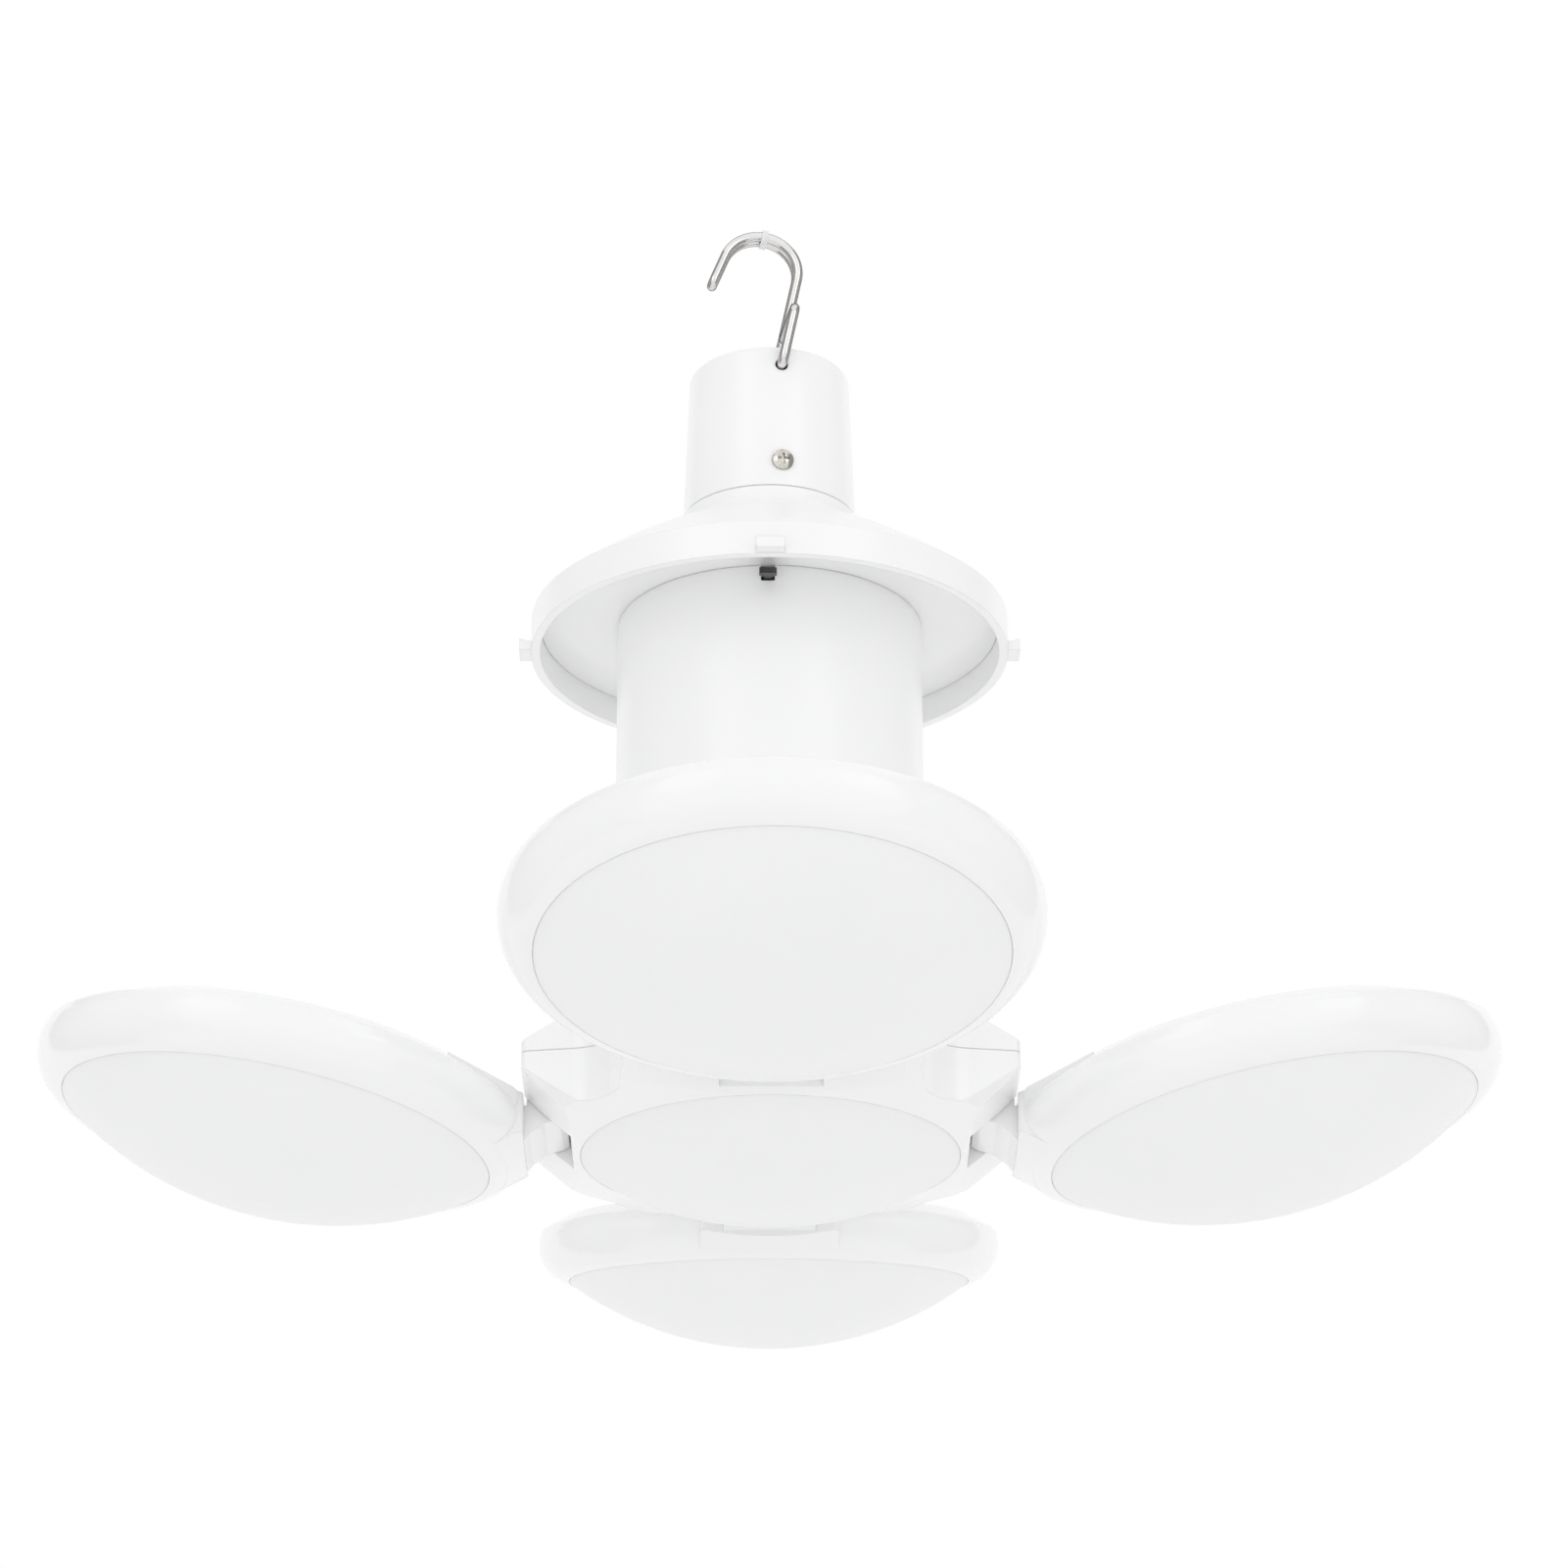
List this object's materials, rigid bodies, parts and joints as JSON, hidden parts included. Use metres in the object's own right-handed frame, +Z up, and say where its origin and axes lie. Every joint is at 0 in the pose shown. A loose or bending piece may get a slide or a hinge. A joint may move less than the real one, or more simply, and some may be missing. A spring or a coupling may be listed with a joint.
{
  "type": "folding bulb light",
  "caption": "Hanging light with round leaves hinged on a hub under a battery neck; the leaves fold up and a wire hook swings in a cap.",
  "frame": {"origin": "point on the lamp's axis at the inside of the hook's bend, where it hangs", "axes": "+Z up along the lamp's axis, -Y the front with the switch and cap screw, +X right"},
  "size_m": [0.2552, 0.2552, 0.1923],
  "materials": {
    "white_gloss": "polished moulded white",
    "milky": "milky satin diffuser",
    "bright_wire": "bright nickel plate",
    "clear_band": "pale sleeve",
    "steel_screw": "zinc plated",
    "plated_shell": "nickel plated",
    "black_plastic": "black moulded",
    "solder": "plain",
    "board": "white solder mask",
    "cell": "wrapped cell"
  },
  "bodies": {
    "hook": {"hook_wire": "bright_wire", "hook_band": "clear_band"},
    "lamp": {"hook_cap": "white_gloss", "hook_cap_screw": "steel_screw", "canopy": "white_gloss", "base_shell": "plated_shell", "base_insulator": "black_plastic", "base_contact": "solder", "canopy_plate": "white_gloss", "driver_board": "board", "board_screws": "steel_screw", "tube_screws": "steel_screw", "battery_tube": "white_gloss", "cell_tray_top": "black_plastic", "cell_tray_bottom": "black_plastic", "cell_contacts": "solder", "battery_cell_1": "cell", "battery_cell_2": "cell", "battery_cell_3": "cell", "battery_cell_4": "cell", "switch_body": "black_plastic", "hub_cover": "white_gloss", "hub_base": "white_gloss", "hub_lens": "milky", "hub_led_board": "board", "hub_screws": "steel_screw", "hinge_pins": "steel_screw"},
    "switch": {"switch_lever": "black_plastic"},
    "leaf_right": {"leaf_shell_right": "white_gloss", "leaf_lens_right": "milky", "leaf_led_board_right": "board", "leaf_screws_right": "steel_screw"},
    "leaf_back": {"leaf_shell_back": "white_gloss", "leaf_lens_back": "milky", "leaf_led_board_back": "board", "leaf_screws_back": "steel_screw"},
    "leaf_left": {"leaf_shell_left": "white_gloss", "leaf_lens_left": "milky", "leaf_led_board_left": "board", "leaf_screws_left": "steel_screw"},
    "leaf_front": {"leaf_shell_front": "white_gloss", "leaf_lens_front": "milky", "leaf_led_board_front": "board", "leaf_screws_front": "steel_screw"}
  },
  "joints": [
    {"name": "hook_pivot", "type": "hinge", "parent": "hook", "child": "lamp", "pos_m": [0, 0, -0.03283], "axis": [-0.1513, 0.9885, 0], "range_deg": [-43, 66]},
    {"name": "leaf_right_hinge", "type": "hinge", "parent": "lamp", "child": "leaf_right", "pos_m": [0.0385, 0, -0.16913], "axis": [0, -1, 0], "range_deg": [-5, 76]},
    {"name": "leaf_back_hinge", "type": "hinge", "parent": "lamp", "child": "leaf_back", "pos_m": [0, 0.0385, -0.16913], "axis": [1, 0, 0], "range_deg": [-5, 76]},
    {"name": "leaf_left_hinge", "type": "hinge", "parent": "lamp", "child": "leaf_left", "pos_m": [-0.0385, 0, -0.16913], "axis": [0, 1, 0], "range_deg": [-5, 76]},
    {"name": "leaf_front_hinge", "type": "hinge", "parent": "lamp", "child": "leaf_front", "pos_m": [0, -0.0385, -0.16913], "axis": [-1, 0, 0], "range_deg": [-5, 76]},
    {"name": "switch_toggle", "type": "hinge", "parent": "lamp", "child": "switch", "pos_m": [-0.0004, -0.0235, -0.08088], "axis": [-1, 0, 0], "range_deg": [0, 14]}
  ]
}
